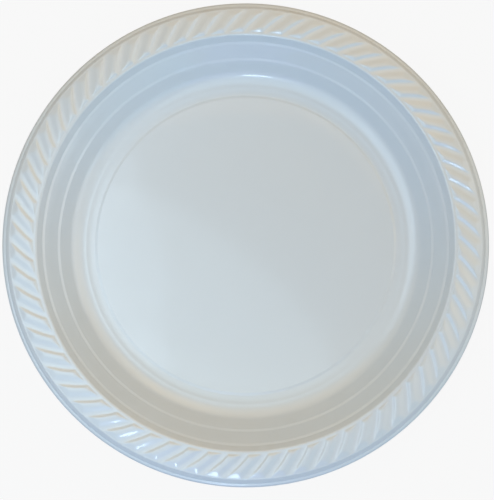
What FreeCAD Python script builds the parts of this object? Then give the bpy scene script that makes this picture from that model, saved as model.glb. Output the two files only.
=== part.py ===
"""Disposable plate, thermoformed in one piece from thin polystyrene sheet.

Millimetres, +Z up. The origin is at the centre of the plate, on the plane it rests on.
The upper side of the sheet is drawn as one line, offset to the sheet's thickness and turned.
The slanted ribs of the rim are embossed: each stands above the rim and is hollow below,
so its form is made twice, once to be added and once a sheet smaller to be cut away.
"""
import FreeCAD, Part
import os

import Sketcher

SIZES = {
    "overall_diameter": 220.0,  # across the trimmed edge
    "crest_height": 20.0,  # from the table to the crest between the well and the rim
    "sheet_thickness": 0.3,
    "flange_width": 1.5,  # narrow ring at the trimmed edge
    "flange_fall": 0.15,
    "lip_width": 1.6,  # the steep step between the flange and the bevel that leads to the rim
    "lip_fall": 2.7,
    "lip_bevel_width": 0.6,
    "lip_bevel_fall": 0.35,
    "rim_width": 11.5,  # the ribbed band, which falls outward
    "rim_fall": 1.2,
    "crest_land": 0.9,
    "crest_bend": 1.2,  # the radius where the well turns over into the crest
    "brow_slope": 64.0,  # degrees, the short steep band below the crest
    "wall_slope": 53.0,  # degrees, the long wall of the well
    "upper_ledge_depth": 4.0,  # below the crest
    "lower_ledge_depth": 10.8,
    "ledge_width": 0.6,
    "floor_bend": 8.5,  # the radius between the wall and the floor
    "foot_width": 4.2,  # lowest ring of the floor, which the plate rests on
    "disc_rise": 0.5,  # the middle of the floor stands this far above the foot
    "disc_step": 0.8,
    "rib_count": 68,
    "rib_height": 1.05,
    "rib_gap": 1.3,  # between the feet of two ribs, at the inner edge of the band
    "rib_slant": 42.0,  # degrees between a rib and the radius that it crosses
    "rib_draft": 50.0,  # degrees between a rib's side and the upright
    "rib_end_run": 1.2,  # how far the sloped end faces of a rib reach
    "rib_start": 0.3,  # from the crest land to the foot of a rib
    "rib_stop": 0.4,  # from the foot of a rib to the lip's bevel
    "first_rib_angle": 4.65,  # degrees around the plate
}

doc = FreeCAD.newDocument("plastic_plate")
sheet = doc.addObject("Spreadsheet::Sheet", "sizes")
for row, (alias, value) in enumerate(SIZES.items(), start=1):
    sheet.set(f"A{row}", alias)
    sheet.set(f"B{row}", str(value))
    sheet.setAlias(f"B{row}", alias)
doc.recompute()

LIP_SPAN = "(sizes.flange_width + sizes.lip_width + sizes.lip_bevel_width)"
RIM_END = f"(sizes.overall_diameter / 2 - {LIP_SPAN})"
RIM_START = f"({RIM_END} - sizes.rim_width)"
RIM_GRADE = "(sizes.rim_fall / sizes.rim_width)"
LIP_HEIGHT = "(sizes.lip_bevel_fall + sizes.lip_fall + sizes.flange_fall)"
EDGE_HEIGHT = f"(sizes.crest_height - sizes.rim_fall - {LIP_HEIGHT})"
RIB_SPACING = f"(2 * pi * {RIM_START} / sizes.rib_count * cos(sizes.rib_slant))"
RIB_WIDTH = f"({RIB_SPACING} - sizes.rib_gap)"
PAST_THE_RIM = f"(sizes.rim_width / cos(sizes.rib_slant) + 2 * {RIB_WIDTH})"

# How many short flats each bend is drawn with.
CREST_FLATS = 2
FLOOR_FLATS = 3

# The numbers that a sketch gives to the ends of a line, to its origin and to its upright axis.
START = 1
END = 2
ORIGIN = -1
Y_AXIS = -2

TURN_AXIS = FreeCAD.Vector(0, 0, 1)
UPRIGHT = FreeCAD.Placement(FreeCAD.Vector(), FreeCAD.Rotation(FreeCAD.Vector(1, 0, 0), 90))


def worth(formula):
    """The value of a formula of the sheet's cells."""
    return float(sheet.evalExpression(formula))


def draw_line(sketch, start, end):
    return sketch.addGeometry(Part.LineSegment(FreeCAD.Vector(*start), FreeCAD.Vector(*end)), False)


def hold(sketch, kind, *where):
    sketch.addConstraint(Sketcher.Constraint(kind, *where))


def hold_size(sketch, formula, kind, *where):
    """A dimension bound to a formula of the sheet's cells."""
    number = sketch.addConstraint(Sketcher.Constraint(kind, *where, worth(formula)))
    sketch.setExpression(f"Constraints[{number}]", formula)


def hold_point(sketch, x_formula, y_formula, *point):
    hold_size(sketch, x_formula, "DistanceX", ORIGIN, START, *point)
    hold_size(sketch, y_formula, "DistanceY", ORIGIN, START, *point)


def bend(radius, upper_slope, lower_slope, flats):
    """The stretches of a bend between two slopes in degrees, drawn as a few short flats."""
    slopes = [f"({upper_slope} + ({lower_slope} - {upper_slope}) * {i} / {flats})" for i in range(flats + 1)]
    return [
        (f"{radius} * abs(sin({a}) - sin({b}))", f"{radius} * abs(cos({a}) - cos({b}))")
        for a, b in zip(slopes, slopes[1:])
    ]


def draw_upper_line():
    """The sheet's upper side from the trimmed edge to the axis, x outward and y up.

    Each stretch is given by how far it goes inward and how far down.
    """
    brow_fall = "(sizes.upper_ledge_depth - sizes.crest_bend * (1 - cos(sizes.brow_slope)))"
    upper_wall_fall = "(sizes.lower_ledge_depth - sizes.upper_ledge_depth)"
    well_depth = "(sizes.crest_height - sizes.sheet_thickness)"
    floor_bend_fall = "sizes.floor_bend * (1 - cos(sizes.wall_slope))"
    lower_wall_fall = f"({well_depth} - sizes.lower_ledge_depth - {floor_bend_fall})"
    stretches = [
        ("sizes.flange_width", "-sizes.flange_fall"),
        ("sizes.lip_width", "-sizes.lip_fall"),
        ("sizes.lip_bevel_width", "-sizes.lip_bevel_fall"),
        ("sizes.rim_width", "-sizes.rim_fall"),
        ("sizes.crest_land", "0"),
        *bend("sizes.crest_bend", "0", "sizes.brow_slope", CREST_FLATS),
        (f"{brow_fall} / tan(sizes.brow_slope)", brow_fall),
        ("sizes.ledge_width", "0"),
        (f"{upper_wall_fall} / tan(sizes.wall_slope)", upper_wall_fall),
        ("sizes.ledge_width", "0"),
        (f"{lower_wall_fall} / tan(sizes.wall_slope)", lower_wall_fall),
        *bend("sizes.floor_bend", "sizes.wall_slope", "0", FLOOR_FLATS),
        ("sizes.foot_width", "0"),
        ("sizes.disc_step", "-sizes.disc_rise"),
    ]
    sketch = doc.addObject("Sketcher::SketchObject", "upper_line")
    sketch.Placement = UPRIGHT
    here = (worth("sizes.overall_diameter / 2"), worth(EDGE_HEIGHT))
    for number, (width, fall) in enumerate(stretches):
        there = (here[0] - worth(width), here[1] - worth(fall))
        draw_line(sketch, here, there)
        if number:
            hold(sketch, "Coincident", number - 1, END, number, START)
        hold_size(sketch, width, "DistanceX", number, END, number, START)
        hold_size(sketch, fall, "DistanceY", number, END, number, START)
        here = there
    hold_point(sketch, "sizes.overall_diameter / 2", EDGE_HEIGHT, 0, START)
    disc = draw_line(sketch, here, (0, here[1]))
    hold(sketch, "Coincident", disc - 1, END, disc, START)
    hold(sketch, "Horizontal", disc)
    hold(sketch, "PointOnObject", disc, END, Y_AXIS)
    return sketch


def make_plain_sheet():
    section = doc.addObject("Part::Offset2D", "sheet_section")
    section.Source = draw_upper_line()
    section.setExpression("Value", "sizes.sheet_thickness")
    section.Mode = "Skin"
    section.Join = "Intersection"
    section.Fill = True
    turned = doc.addObject("Part::Revolution", "plain_sheet")
    turned.Source = section
    turned.Axis = TURN_AXIS
    turned.Angle = 360
    turned.Solid = True
    return turned


def draw_outline(sketch, corners):
    """A closed outline of straight lines, each corner given by two formulas."""
    points = [(worth(x), worth(y)) for x, y in corners]
    for i in range(len(points)):
        draw_line(sketch, points[i - 1], points[i])
    for i, (x, y) in enumerate(corners):
        hold(sketch, "Coincident", i, END, (i + 1) % len(corners), START)
        hold_point(sketch, x, y, i, END)


def extrude(name, sketch):
    """A bar of the sketch's outline, to both sides of it and past both ends of a rib."""
    bar = doc.addObject("Part::Extrusion", name)
    bar.Base = sketch
    bar.DirMode = "Normal"
    bar.Symmetric = True
    bar.Solid = True
    bar.setExpression("LengthFwd", PAST_THE_RIM)
    return bar


def make_rib_side_view(name, inset, depth):
    """A rib's top and sloped ends, seen square to the radius, from a depth below the rim up."""
    sketch = doc.addObject("Sketcher::SketchObject", f"{name}_side")
    sketch.Placement = UPRIGHT
    end_run = "(sizes.rib_end_run / sizes.rib_height)"
    end_inset = f"{inset} * sqrt(1 + {end_run} ^ 2)"
    inner_foot = f"({RIM_START} + sizes.rib_start + {end_inset})"
    outer_foot = f"({RIM_END} - sizes.rib_stop - {end_inset})"
    low = f"(-{depth})"
    high = f"(sizes.rib_height - {inset})"
    corners = []
    for foot, inward, level in (
        (inner_foot, 1, low),
        (inner_foot, 1, high),
        (outer_foot, -1, high),
        (outer_foot, -1, low),
    ):
        x = f"({foot} + {inward} * {level} * {end_run})"
        corners.append((x, f"sizes.crest_height - ({x} - {RIM_START}) * {RIM_GRADE} + {level}"))
    draw_outline(sketch, corners)
    return extrude(f"{name}_block", sketch)


def make_rib_end_view(name, inset, depth):
    """A rib's sloped sides, seen along its slant, from a depth below the rim to past its top."""
    sketch = doc.addObject("Sketcher::SketchObject", f"{name}_end")
    middle = f"vector(({RIM_START} + {RIM_END}) / 2; 0; sizes.crest_height - sizes.rim_fall / 2)"
    along_rib = f"rotationy(atan({RIM_GRADE})) * rotationz(-sizes.rib_slant)"
    upright = "rotationy(90) * rotationz(90)"
    sketch.setExpression("Placement", f"placement({middle}; {along_rib} * {upright})")
    high = f"(sizes.rib_height - {inset} + sizes.sheet_thickness / 2)"
    narrowing = "tan(sizes.rib_draft)"
    half_foot = f"({RIB_WIDTH} / 2 - {inset} / cos(sizes.rib_draft))"
    half_low = f"({half_foot} + {depth} * {narrowing})"
    half_high = f"({half_foot} - {high} * {narrowing})"
    draw_outline(
        sketch,
        (
            (f"-{half_low}", f"-{depth}"),
            (half_low, f"-{depth}"),
            (half_high, high),
            (f"-{half_high}", high),
        ),
    )
    return extrude(f"{name}_bar", sketch)


def find_origin_feature(body, role):
    return next(feature for feature in body.Origin.OriginFeatures if feature.Role == role)


def combine(kind, name, base, tool):
    result = doc.addObject(kind, name)
    result.Base = base
    result.Tool = tool
    return result


def make_ribs(name, inset, depth):
    """All the ribs: each is what a bar with its top and ends shares with a bar with its sides."""
    side_view = make_rib_side_view(name, inset, depth)
    end_view = make_rib_end_view(name, inset, depth)
    rib = combine("Part::Common", f"{name}_one", side_view, end_view)
    body = doc.addObject("PartDesign::Body", name)
    body.BaseFeature = rib
    doc.recompute()
    pattern = body.newObject("PartDesign::PolarPattern", f"{name}_pattern")
    pattern.TransformMode = "Whole shape"
    pattern.Axis = (find_origin_feature(body, "Z_Axis"), [""])
    pattern.Angle = 360
    pattern.setExpression("Occurrences", "sizes.rib_count")
    body.Tip = pattern
    body.setExpression("Placement", "placement(vector(0; 0; 0); rotationz(sizes.first_rib_angle))")
    return body


ribs = make_ribs("ribs", "0", "(sizes.sheet_thickness / 2)")
hollows = make_ribs("hollows", "sizes.sheet_thickness", "(1.5 * sizes.sheet_thickness)")
ribbed_sheet = combine("Part::Fuse", "ribbed_sheet", make_plain_sheet(), ribs)
plate = combine("Part::Cut", "formed_sheet", ribbed_sheet, hollows)
plate.Label = "plate"
doc.recompute()

for part in doc.Objects:
    if "Invalid" in part.State or "Error" in part.State:
        raise RuntimeError(f"{part.Label} failed: {part.State}")
if plate.Shape.isNull() or not plate.Shape.isValid() or len(plate.Shape.Solids) != 1:
    raise RuntimeError("the plate is not one valid solid")

os.makedirs("parts", exist_ok=True)
plate.Shape.exportStep("parts/plate.step")
print(f"plate: {plate.Shape.Volume:.0f} cubic mm, {len(plate.Shape.Faces)} faces")
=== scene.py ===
import math

import bpy
from mathutils import Matrix, Vector


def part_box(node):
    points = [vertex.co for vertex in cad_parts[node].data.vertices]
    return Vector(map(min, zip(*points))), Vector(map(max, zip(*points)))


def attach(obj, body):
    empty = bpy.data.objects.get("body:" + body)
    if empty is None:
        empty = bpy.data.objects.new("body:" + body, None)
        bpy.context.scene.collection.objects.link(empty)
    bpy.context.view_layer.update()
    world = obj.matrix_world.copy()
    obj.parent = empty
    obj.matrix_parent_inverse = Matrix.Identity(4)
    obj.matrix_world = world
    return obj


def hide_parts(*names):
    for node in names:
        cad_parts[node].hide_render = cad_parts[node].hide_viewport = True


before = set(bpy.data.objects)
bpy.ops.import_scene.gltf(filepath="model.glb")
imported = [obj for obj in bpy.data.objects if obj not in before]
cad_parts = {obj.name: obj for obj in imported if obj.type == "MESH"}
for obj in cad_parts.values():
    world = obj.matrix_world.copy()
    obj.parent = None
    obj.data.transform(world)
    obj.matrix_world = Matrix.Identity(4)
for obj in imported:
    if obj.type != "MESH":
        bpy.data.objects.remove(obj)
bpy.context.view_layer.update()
plateLow, plateHigh = (Vector(corner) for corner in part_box("plate"))
mm = 0.001
print("frame loaded")

# Sizes are in mm and slopes in degrees.
# Widths run inward from the trimmed edge, and depths run down from the crest.
# Each ledge falls a little inward. The seat step is a low step in the foot ring, inside the bend.
sheetValues = {
    "edgeRadius": (plateHigh.x - plateLow.x) / 2 / mm,
    "thickness": 0.3,
    "crestHeight": 20.0,
    "edgeHeight": 15.6,
    "flangeWidth": 1.5,
    "flangeFall": 0.15,
    "flangeRounding": 0.7,
    "lipWidth": 2.1,
    "lipRounding": 0.8,
    "rimWidth": 11.6,
    "rimFall": 1.2,
    "crestLand": 0.9,
    "crestRounding": 1.2,
    "browSlope": 64,
    "wallSlope": 54.4,
    "upperLedgeDepth": 4.0,
    "lowerLedgeDepth": 10.8,
    "ledgeWidth": 1.0,
    "ledgeFall": 0.8,
    "ledgeRounding": 0.6,
    "floorRounding": 8.5,
    "footWidth": 4.2,
    "discRise": 0.5,
    "discStep": 1.2,
    "discRounding": 0.6,
    "seatStep": 0.6,
    "seatRise": 0.16,
    "seatLand": 0.5,
}

# A rib leans like a wave: it climbs its steep flank, turns over its crown
# and runs out down its gentle flank.
# Places across a rib are shares of the way from rib to rib, and places along it are mm.
# The softness of an end is the share of the height over which its slope meets the rib.
ribValues = {
    "count": 68,
    "heightMm": 0.9,
    "steepFoot": -0.33,
    "crownStart": -0.10,
    "crownEnd": 0.02,
    "gentleFoot": 0.56,
    "slant": 41,
    "swing": 0.12,
    "firstAngle": 4.72,
    "startGapMm": 0.5,
    "startRunMm": 1.05,
    "endGapMm": 0.5,
    "endRunMm": 2.6,
    "startSoftness": 0.08,
    "endSoftness": 0.3,
    "steepSteps": 5,
    "crownSteps": 2,
    "gentleSteps": 7,
    "valleySteps": 2,
    "columnsKeptInWell": 4,
}

# The longest steps in mm between the sheet's rings. The floor's step holds inside floorRadius.
ringSteps = {"ribEnd": 0.4, "rim": 1.4, "well": 4.0, "floor": 12.0, "floorRadius": 68.0}


def smoothStep(share):
    share = min(max(share, 0), 1)
    return share * share * (3 - 2 * share)


def sheetCorners():
    # each corner is (radius, height, rounding, steps of the rounding), from the axis outward
    v = sheetValues
    edge = v["edgeRadius"]
    crest = v["crestHeight"]
    floor = v["thickness"]
    seat = floor + v["seatRise"]
    flangeStart = edge - v["flangeWidth"]
    rimEnd = flangeStart - v["lipWidth"]
    rimStart = rimEnd - v["rimWidth"]
    crestStart = rimStart - v["crestLand"]
    brow = crestStart - v["upperLedgeDepth"] / math.tan(math.radians(v["browSlope"]))
    wallRun = 1 / math.tan(math.radians(v["wallSlope"]))
    upperWall = brow - v["ledgeWidth"]
    upperLedge = crest - v["upperLedgeDepth"]
    lowerLedge = crest - v["lowerLedgeDepth"]
    wallMiddle = upperWall - (upperLedge - lowerLedge) * wallRun
    lowerWall = wallMiddle - v["ledgeWidth"]
    wallFoot = lowerWall - (lowerLedge - seat) * wallRun
    bendReach = v["floorRounding"] * math.tan(math.radians(v["wallSlope"] / 2))
    bendStart = wallFoot - bendReach
    discEdge = bendStart - v["footWidth"]
    stepEnd = bendStart - v["seatLand"]
    return [
        (0, floor + v["discRise"], 0, 0),
        (discEdge - v["discStep"], floor + v["discRise"], v["discRounding"], 2),
        (discEdge, floor, v["discRounding"], 2),
        (stepEnd - v["seatStep"], floor, 0, 0),
        (stepEnd, seat, 0, 0),
        (wallFoot, seat, v["floorRounding"], 8),
        (lowerWall, lowerLedge - v["ledgeFall"], v["ledgeRounding"], 2),
        (wallMiddle, lowerLedge, v["ledgeRounding"], 2),
        (upperWall, upperLedge - v["ledgeFall"], v["ledgeRounding"], 2),
        (brow, upperLedge, v["ledgeRounding"], 2),
        (crestStart, crest, v["crestRounding"], 5),
        (rimStart, crest, 0, 0),
        (rimEnd, crest - v["rimFall"], v["lipRounding"], 4),
        (flangeStart, v["edgeHeight"] + v["flangeFall"], v["flangeRounding"], 3),
        (edge, v["edgeHeight"], 0, 0),
    ]


def roundCorners(corners):
    line = []
    for i, (radius, height, rounding, steps) in enumerate(corners):
        here = Vector((radius, height))
        if not rounding:
            line.append(here)
            continue
        back = (Vector(corners[i - 1][:2]) - here).normalized()
        ahead = (Vector(corners[i + 1][:2]) - here).normalized()
        halfAngle = back.angle(ahead) / 2
        centre = here + (back + ahead).normalized() * rounding / math.sin(halfAngle)
        spoke = here + back * rounding / math.tan(halfAngle) - centre
        lastSpoke = here + ahead * rounding / math.tan(halfAngle) - centre
        turn = math.atan2(spoke.cross(lastSpoke), spoke.dot(lastSpoke)) / steps
        for k in range(steps + 1):
            line.append(centre + Matrix.Rotation(k * turn, 2) @ spoke)
    return line


class Rim:
    # radii in mm at which the sloping rim and its ribs start and end
    end = sheetValues["edgeRadius"] - sheetValues["flangeWidth"] - sheetValues["lipWidth"]
    start = end - sheetValues["rimWidth"]
    ribStart = start + ribValues["startGapMm"]
    ribEnd = end - ribValues["endGapMm"]


def softLeast(first, second, softness):
    # the lesser of the two, rounded where they are nearly equal
    overlap = max(softness - abs(first - second), 0)
    return min(first, second) - overlap * overlap / softness / 4


def ribHeight(radius, lift):
    # a rib is cut off at both ends by a flat slope, as a hipped roof is
    v = ribValues
    height = softLeast(lift, (radius - Rim.ribStart) / v["startRunMm"], v["startSoftness"])
    height = softLeast(height, (Rim.ribEnd - radius) / v["endRunMm"], v["endSoftness"])
    return v["heightMm"] * max(height, 0)


def ringTurn(radius):
    # the angle that a ring turns through so that the ribs slant
    # the slant is least at both ends of a rib, which bends it into a slight S
    v = ribValues
    width = Rim.end - Rim.start
    middle = (Rim.end + Rim.start) / 2
    share = min(max((radius - Rim.start) / width, 0), 1)
    swung = share - 0.5 - v["swing"] * math.sin(2 * math.pi * share) / (2 * math.pi)
    return -math.tan(math.radians(v["slant"])) * width * swung / middle


def ringSpacing(radius):
    if radius < ringSteps["floorRadius"]:
        return ringSteps["floor"]
    if radius < Rim.start:
        return ringSteps["well"]
    atStart = 0 <= radius - Rim.ribStart <= ribValues["startRunMm"]
    atEnd = 0 <= Rim.ribEnd - radius <= ribValues["endRunMm"]
    return ringSteps["ribEnd"] if atStart or atEnd else ringSteps["rim"]


def sheetRings():
    # the rounded outline is cut where ribs start and end, then into steps
    line = roundCorners(sheetCorners())
    v = ribValues
    stops = [Rim.ribStart, Rim.ribStart + v["startRunMm"], Rim.ribEnd - v["endRunMm"], Rim.ribEnd]
    rings = []
    for here, there in zip(line, line[1:]):
        inside = [stop for stop in stops if here.x < stop < there.x]
        cuts = [here] + [here.lerp(there, (stop - here.x) / (there.x - here.x)) for stop in inside]
        for a, b in zip(cuts, cuts[1:] + [there]):
            parts = max(1, math.ceil((b - a).length / ringSpacing((a.x + b.x) / 2)))
            rings += [a.lerp(b, k / parts) for k in range(parts)]
    return rings[1:] + [line[-1]]


def ribColumns():
    # each column is (share of the way to the next rib, how high it stands on the rib)
    v = ribValues
    stretches = [
        (v["steepFoot"], v["crownStart"], v["steepSteps"]),
        (v["crownStart"], v["crownEnd"], v["crownSteps"]),
        (v["crownEnd"], v["gentleFoot"], v["gentleSteps"]),
        (v["gentleFoot"], 1 + v["steepFoot"], v["valleySteps"]),
    ]
    shares = []
    for low, high, steps in stretches:
        shares += [low + (high - low) * k / steps for k in range(steps)]
    return [(share, ribLift(share)) for share in shares]


def ribLift(share):
    v = ribValues
    climb = smoothStep((share - v["steepFoot"]) / (v["crownStart"] - v["steepFoot"]))
    return climb * smoothStep((v["gentleFoot"] - share) / (v["gentleFoot"] - v["crownEnd"]))


def joinRings(inner, outer):
    # an inner ring may have fewer vertices, and then its edges each meet several of the outer ring
    joined = len(outer) // len(inner)
    faces = []
    for k in range(len(inner)):
        along = [outer[(k * joined + n) % len(outer)] for n in range(joined + 1)]
        faces.append([inner[k]] + along + [inner[(k + 1) % len(inner)]])
    return faces


def makeSheet():
    # the upper surface is built ring by ring from the axis outward, and the modifier thickens it
    columns = ribColumns()
    count = ribValues["count"]
    pitch = 2 * math.pi / count
    first = math.radians(ribValues["firstAngle"])
    allColumns = [(pitch * (rib + share), lift) for rib in range(count) for share, lift in columns]
    wellColumns = allColumns[::len(columns) // ribValues["columnsKeptInWell"]]
    wellEnd = Rim.start - sheetValues["crestLand"] / 2
    vertices = []
    faces = []
    inner = None
    for ring in sheetRings():
        start = len(vertices)
        for angle, lift in allColumns if ring.x > wellEnd else wellColumns:
            angle += first + ringTurn(ring.x)
            x = ring.x * math.cos(angle)
            y = ring.x * math.sin(angle)
            vertices.append(Vector((x, y, ring.y + ribHeight(ring.x, lift))) * mm)
        outer = list(range(start, len(vertices)))
        faces += joinRings(inner, outer) if inner else [outer]
        inner = outer
    mesh = bpy.data.meshes.new("plateSheet")
    mesh.from_pydata(vertices, [], faces)
    mesh.validate()
    mesh.shade_smooth()
    piece = bpy.data.objects.new("plateSheet", mesh)
    bpy.context.collection.objects.link(piece)
    solid = piece.modifiers.new("sheetThickness", "SOLIDIFY")
    solid.thickness = sheetValues["thickness"] * mm
    solid.offset = -1
    solid.use_even_offset = True
    return piece


plateSheet = makeSheet()
print("sheet formed")

# Sizes of the texture are in mm and heights of the bumps in micrometres.
# Each pair is the least and the most over the surface.
plasticValues = {
    "sheetColour": (0.74, 0.765, 0.785, 1),
    "drawnColour": (0.725, 0.757, 0.785, 1),
    "drawnDepth": 12.0,
    "drawnPatchesPerMetre": 45.0,
    "ior": 1.59,
    "coatRoughness": 0.08,
    "waveLength": 14.0,
    "peelLength": 1.1,
    "peelShare": 0.25,
    "scratchSpacing": 5.0,
    "scratchWidth": 0.02,
    "scratchDullness": 0.3,
    "scratchDepth": 0.2,
    "upper": {"roughness": (0.32, 0.40), "bump": 9.0, "scratches": 0.25, "coat": (0.85, 0.95)},
    "under": {"roughness": (0.40, 0.50), "bump": 14.0, "scratches": 0.35, "coat": (0.0, 0.06)},
    "cut": {"roughness": (0.50, 0.66), "bump": 22.0, "scratches": 0.0},
}

# The range that a noise mostly keeps to.
noiseRange = (0.3, 0.7)

# Each direction of the scratches is (angle in radians, how far they are drawn out).
scratchDirections = ((0.4, 9.0), (1.9, 12.0), (2.7, 7.0))


def newGroup(name, inputs, outputs):
    # inputs are {socket name: its default}, outputs are {socket name: socket type}
    group = bpy.data.node_groups.new(name, "ShaderNodeTree")
    for socketName, value in inputs.items():
        kind = "NodeSocketFloat" if isinstance(value, float) else "NodeSocketColor"
        socket = group.interface.new_socket(name=socketName, in_out="INPUT", socket_type=kind)
        socket.default_value = value
    for socketName, kind in outputs.items():
        group.interface.new_socket(name=socketName, in_out="OUTPUT", socket_type=kind)
    given = group.nodes.new("NodeGroupInput").outputs
    result = group.nodes.new("NodeGroupOutput").inputs
    return group, given, result


def addMath(tree, operation, first, second=0.5, clamp=False):
    # each operand is a number or another node's output
    node = tree.nodes.new("ShaderNodeMath")
    node.operation = operation
    node.use_clamp = clamp
    for socket, value in zip(node.inputs, (first, second)):
        if isinstance(value, (int, float)):
            socket.default_value = value
        else:
            tree.links.new(value, socket)
    return node.outputs[0]


def addNoise(tree, vector, scale, detail):
    noise = tree.nodes.new("ShaderNodeTexNoise")
    noise.inputs["Detail"].default_value = detail
    tree.links.new(vector, noise.inputs["Vector"])
    if isinstance(scale, float):
        noise.inputs["Scale"].default_value = scale
    else:
        tree.links.new(scale, noise.inputs["Scale"])
    return noise.outputs["Fac"]


def addSpread(tree, noise, lowest, highest):
    # spreads a noise between two values
    spread = tree.nodes.new("ShaderNodeMapRange")
    tree.links.new(noise, spread.inputs["Value"])
    spread.inputs["From Min"].default_value, spread.inputs["From Max"].default_value = noiseRange
    spread.inputs["To Min"].default_value = lowest
    spread.inputs["To Max"].default_value = highest
    return spread.outputs["Result"]


def makeWavesGroup():
    # slow waves left by forming with a finer orange peel on them
    inputs = {"Waves per Metre": 70.0, "Peel per Metre": 900.0, "Peel Share": 0.25}
    outputs = {"Height": "NodeSocketFloat", "Waves": "NodeSocketFloat"}
    group, given, result = newGroup("formingWaves", inputs, outputs)
    place = group.nodes.new("ShaderNodeTexCoord").outputs["Object"]
    waves = addNoise(group, place, given["Waves per Metre"], 1.0)
    peel = addNoise(group, place, given["Peel per Metre"], 2.0)
    peelPart = addMath(group, "MULTIPLY", peel, given["Peel Share"])
    group.links.new(addMath(group, "ADD", waves, peelPart), result["Height"])
    group.links.new(waves, result["Waves"])
    return group


def makeScratchGroup():
    # short hairlines rubbed on by the plates above and below in a stack
    inputs = {"Scratches per Metre": 200.0, "Width": 0.02, "Amount": 0.3}
    group, given, result = newGroup("stackingScratches", inputs, {"Mask": "NodeSocketFloat"})
    place = group.nodes.new("ShaderNodeTexCoord").outputs["Object"]
    patchesPerMetre = 90.0
    patchShift = 40.0  # so that no two directions share their patches
    patchEdge = 0.58
    masks = []
    for angle, stretch in scratchDirections:
        turned = group.nodes.new("ShaderNodeMapping")
        turned.inputs["Rotation"].default_value = (0, 0, angle)
        turned.inputs["Scale"].default_value = (1, 1 / stretch, 1)
        group.links.new(place, turned.inputs["Vector"])
        grain = addNoise(group, turned.outputs["Vector"], given["Scratches per Metre"], 0.0)
        fromMiddle = addMath(group, "ABSOLUTE", addMath(group, "SUBTRACT", grain, 0.5))
        across = addMath(group, "DIVIDE", fromMiddle, given["Width"])
        line = addMath(group, "SUBTRACT", 1.0, across, clamp=True)
        patch = addNoise(group, place, patchesPerMetre + patchShift * angle, 1.0)
        rubbed = addMath(group, "GREATER_THAN", patch, patchEdge)
        masks.append(addMath(group, "MULTIPLY", line, rubbed))
    together = addMath(group, "MAXIMUM", addMath(group, "MAXIMUM", masks[0], masks[1]), masks[2])
    group.links.new(addMath(group, "MULTIPLY", together, given["Amount"]), result["Mask"])
    return group


def makeToneGroup():
    # the sheet is stretched thinner down the wall, and is a touch cooler there
    inputs = {
        "Sheet Colour": (0.8, 0.8, 0.8, 1),
        "Drawn Colour": (0.7, 0.7, 0.7, 1),
        "Crest Height": 0.02,
        "Drawn Depth": 0.01,
        "Patches per Metre": 45.0,
    }
    group, given, result = newGroup("drawnTone", inputs, {"Colour": "NodeSocketColor"})
    place = group.nodes.new("ShaderNodeTexCoord").outputs["Object"]
    split = group.nodes.new("ShaderNodeSeparateXYZ")
    group.links.new(place, split.inputs["Vector"])
    depth = addMath(group, "SUBTRACT", given["Crest Height"], split.outputs["Z"])
    share = addMath(group, "DIVIDE", depth, given["Drawn Depth"], clamp=True)
    patches = addMath(group, "ADD", addNoise(group, place, given["Patches per Metre"], 2.0), 0.5)
    patchy = addMath(group, "MULTIPLY", share, patches, clamp=True)
    blend = group.nodes.new("ShaderNodeMix")
    blend.data_type = "RGBA"
    group.links.new(patchy, blend.inputs["Factor"])
    # inputs 6 and 7 and output 2 are the mix node's colour sockets
    group.links.new(given["Sheet Colour"], blend.inputs[6])
    group.links.new(given["Drawn Colour"], blend.inputs[7])
    group.links.new(blend.outputs[2], result["Colour"])
    return group


wavesGroup = makeWavesGroup()
scratchGroup = makeScratchGroup()
toneGroup = makeToneGroup()


def placeGroup(tree, group, values):
    node = tree.nodes.new("ShaderNodeGroup")
    node.node_tree = group
    for socketName, value in values.items():
        node.inputs[socketName].default_value = value
    return node.outputs


def makePlastic(name, look):
    v = plasticValues
    plastic = bpy.data.materials.new(name)
    plastic.use_nodes = True
    tree = plastic.node_tree
    shader = tree.nodes["Principled BSDF"]
    shader.inputs["IOR"].default_value = v["ior"]
    shader.inputs["Coat Roughness"].default_value = v["coatRoughness"]
    toneValues = {
        "Sheet Colour": v["sheetColour"],
        "Drawn Colour": v["drawnColour"],
        "Crest Height": sheetValues["crestHeight"] * mm,
        "Drawn Depth": v["drawnDepth"] * mm,
        "Patches per Metre": v["drawnPatchesPerMetre"],
    }
    tone = placeGroup(tree, toneGroup, toneValues)
    waveValues = {
        "Waves per Metre": 1 / (v["waveLength"] * mm),
        "Peel per Metre": 1 / (v["peelLength"] * mm),
        "Peel Share": v["peelShare"],
    }
    waves = placeGroup(tree, wavesGroup, waveValues)
    scratchValues = {
        "Scratches per Metre": 1 / (v["scratchSpacing"] * mm),
        "Width": v["scratchWidth"],
        "Amount": look["scratches"],
    }
    scratches = placeGroup(tree, scratchGroup, scratchValues)
    wavedRoughness = addSpread(tree, waves["Waves"], *look["roughness"])
    dulled = addMath(tree, "MULTIPLY", scratches["Mask"], v["scratchDullness"])
    roughness = addMath(tree, "ADD", wavedRoughness, dulled)
    if "coat" in look:
        least, most = look["coat"]
        coat = addSpread(tree, waves["Waves"], most, least)  # least where the sheet is roughest
        tree.links.new(coat, shader.inputs["Coat Weight"])
    cutIn = addMath(tree, "MULTIPLY", scratches["Mask"], v["scratchDepth"])
    height = addMath(tree, "SUBTRACT", waves["Height"], cutIn)
    bump = tree.nodes.new("ShaderNodeBump")
    bump.inputs["Distance"].default_value = look["bump"] * mm * mm
    tree.links.new(height, bump.inputs["Height"])
    tree.links.new(tone["Colour"], shader.inputs["Base Color"])
    tree.links.new(roughness, shader.inputs["Roughness"])
    tree.links.new(bump.outputs["Normal"], shader.inputs["Normal"])
    return plastic


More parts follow.
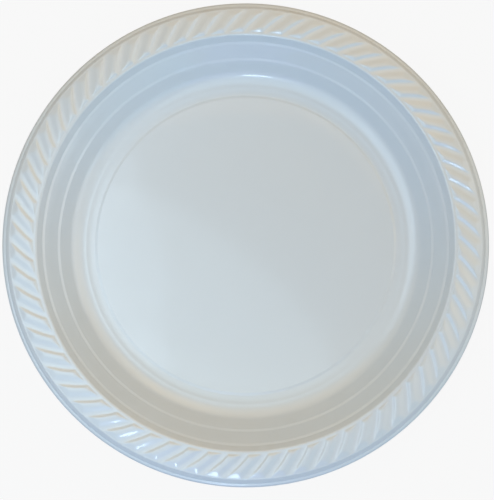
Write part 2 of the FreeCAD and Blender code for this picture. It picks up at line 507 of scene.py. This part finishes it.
# the order is that of the solidify modifier: the formed side, the mould side, the cut edge
plateSheet.data.materials.append(makePlastic("glossyUpperSide", plasticValues["upper"]))
plateSheet.data.materials.append(makePlastic("satinUnderside", plasticValues["under"]))
plateSheet.data.materials.append(makePlastic("cutSheetEdge", plasticValues["cut"]))
plateSheet.modifiers["sheetThickness"].material_offset = 1
plateSheet.modifiers["sheetThickness"].material_offset_rim = 2
print("plastic mixed")

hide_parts("plate")
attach(plateSheet, "root")

# The floor and the room show as white to the camera and in glossy reflections,
# and light the plate less than that. The floor's reach is in metres.
stageValues = {
    "floorReach": 12.0,
    "floorColour": (0.35, 0.35, 0.35, 1),
    "floorWhiteShare": 0.92,
    "roomColour": (0.9, 1.0, 1.1, 1),
    "roomStrength": 0.04,
}


def makeFloor():
    reach = stageValues["floorReach"]
    mesh = bpy.data.meshes.new("floor")
    corners = [(-reach, -reach, 0), (reach, -reach, 0), (reach, reach, 0), (-reach, reach, 0)]
    mesh.from_pydata(corners, [], [(0, 1, 2, 3)])
    floor = bpy.data.objects.new("floor", mesh)
    bpy.context.collection.objects.link(floor)
    paper = bpy.data.materials.new("whitePaper")
    paper.use_nodes = True
    tree = paper.node_tree
    tree.nodes.clear()
    diffuse = tree.nodes.new("ShaderNodeBsdfDiffuse")
    diffuse.inputs["Color"].default_value = stageValues["floorColour"]
    glow = tree.nodes.new("ShaderNodeEmission")
    share = addMath(tree, "MULTIPLY", seenWhite(tree), stageValues["floorWhiteShare"])
    output = tree.nodes.new("ShaderNodeOutputMaterial")
    mixInto(tree, share, diffuse.outputs[0], glow.outputs[0], output)
    mesh.materials.append(paper)


def seenWhite(tree):
    # 1 for what the camera sees straight on, in a reflection or through something clear
    rays = tree.nodes.new("ShaderNodeLightPath").outputs
    mirrored = addMath(tree, "MAXIMUM", rays["Is Glossy Ray"], rays["Is Transmission Ray"])
    return addMath(tree, "MAXIMUM", rays["Is Camera Ray"], mirrored)


def mixInto(tree, share, first, second, output):
    mix = tree.nodes.new("ShaderNodeMixShader")
    tree.links.new(share, mix.inputs[0])
    tree.links.new(first, mix.inputs[1])
    tree.links.new(second, mix.inputs[2])
    tree.links.new(mix.outputs[0], output.inputs["Surface"])


def addLamp(name, azimuth, elevation, distance, size, power, colour):
    lampData = bpy.data.lights.new(name, "AREA")
    lampData.shape = "DISK"
    lampData.size = size
    lampData.energy = power
    lampData.color = colour
    lamp = bpy.data.objects.new(name, lampData)
    around = math.radians(azimuth)
    up = math.radians(elevation)
    level = math.cos(up)
    direction = Vector((level * math.cos(around), level * math.sin(around), math.sin(up)))
    lamp.location = direction * distance
    lamp.rotation_euler = direction.to_track_quat("Z", "Y").to_euler()
    bpy.context.collection.objects.link(lamp)


def makeWorld():
    world = bpy.data.worlds.new("room")
    world.use_nodes = True
    bpy.context.scene.world = world
    tree = world.node_tree
    ambient = tree.nodes["Background"]
    ambient.inputs["Color"].default_value = stageValues["roomColour"]
    ambient.inputs["Strength"].default_value = stageValues["roomStrength"]
    white = tree.nodes.new("ShaderNodeBackground")
    white.inputs["Color"].default_value = (1, 1, 1, 1)
    output = tree.nodes["World Output"]
    mixInto(tree, seenWhite(tree), ambient.outputs[0], white.outputs[0], output)


# Each lamp is (azimuth, elevation, distance, size, power, colour),
# in degrees, metres and watts. It points at the middle of the plate.
lampValues = {
    "smallFrontWindow": (265, 36, 1.5, 0.26, 2.2, (0.62, 0.8, 1.0)),
    "lowRightWindow": (0, 15, 1.5, 1.6, 4.67, (0.93, 0.97, 1.0)),
    "lowFrontRightWindow": (315, 15, 1.5, 1.6, 2.42, (0.02, 0.68, 1.0)),
    "lowBackLeftLamp": (135, 15, 1.5, 1.6, 1.58, (1.0, 0.6, 0.02)),
    "rightCeiling": (0, 45, 1.5, 1.6, 1.75, (1.0, 0.9, 0.68)),
    "backRightCeiling": (45, 45, 1.5, 1.6, 3.67, (1.0, 0.7, 0.3)),
    "warmBackLamp": (90, 45, 1.5, 1.6, 4.24, (1.0, 0.64, 0.23)),
    "nearFrontWindow": (270, 25, 0.6, 0.5, 0.29, (0.02, 0.13, 1.0)),
    "nearLeftLamp": (180, 60, 0.6, 0.5, 0.59, (0.63, 0.82, 1.0)),
    "nearFrontLeftLamp": (225, 60, 0.6, 0.8, 1.75, (0.67, 0.88, 1.0)),
}
makeFloor()
for name, values in lampValues.items():
    addLamp(name, *values)
makeWorld()

# The lens is in mm, the tilt in degrees from straight down and the rest in metres.
cameraValues = {"lens": 79.58, "tilt": 5.6, "distance": 0.500, "aim": (0.0006, -0.0044, 0.015)}


def makeCamera():
    cameraData = bpy.data.cameras.new("camera")
    cameraData.lens = cameraValues["lens"]
    camera = bpy.data.objects.new("camera", cameraData)
    tilt = math.radians(cameraValues["tilt"])
    away = Vector((0, -math.sin(tilt), math.cos(tilt))) * cameraValues["distance"]
    camera.location = Vector(cameraValues["aim"]) + away
    camera.rotation_euler = (tilt, 0, 0)
    bpy.context.collection.objects.link(camera)
    bpy.context.scene.camera = camera


makeCamera()
bpy.context.scene.view_settings.view_transform = "Standard"
print("floor, lights and camera set")
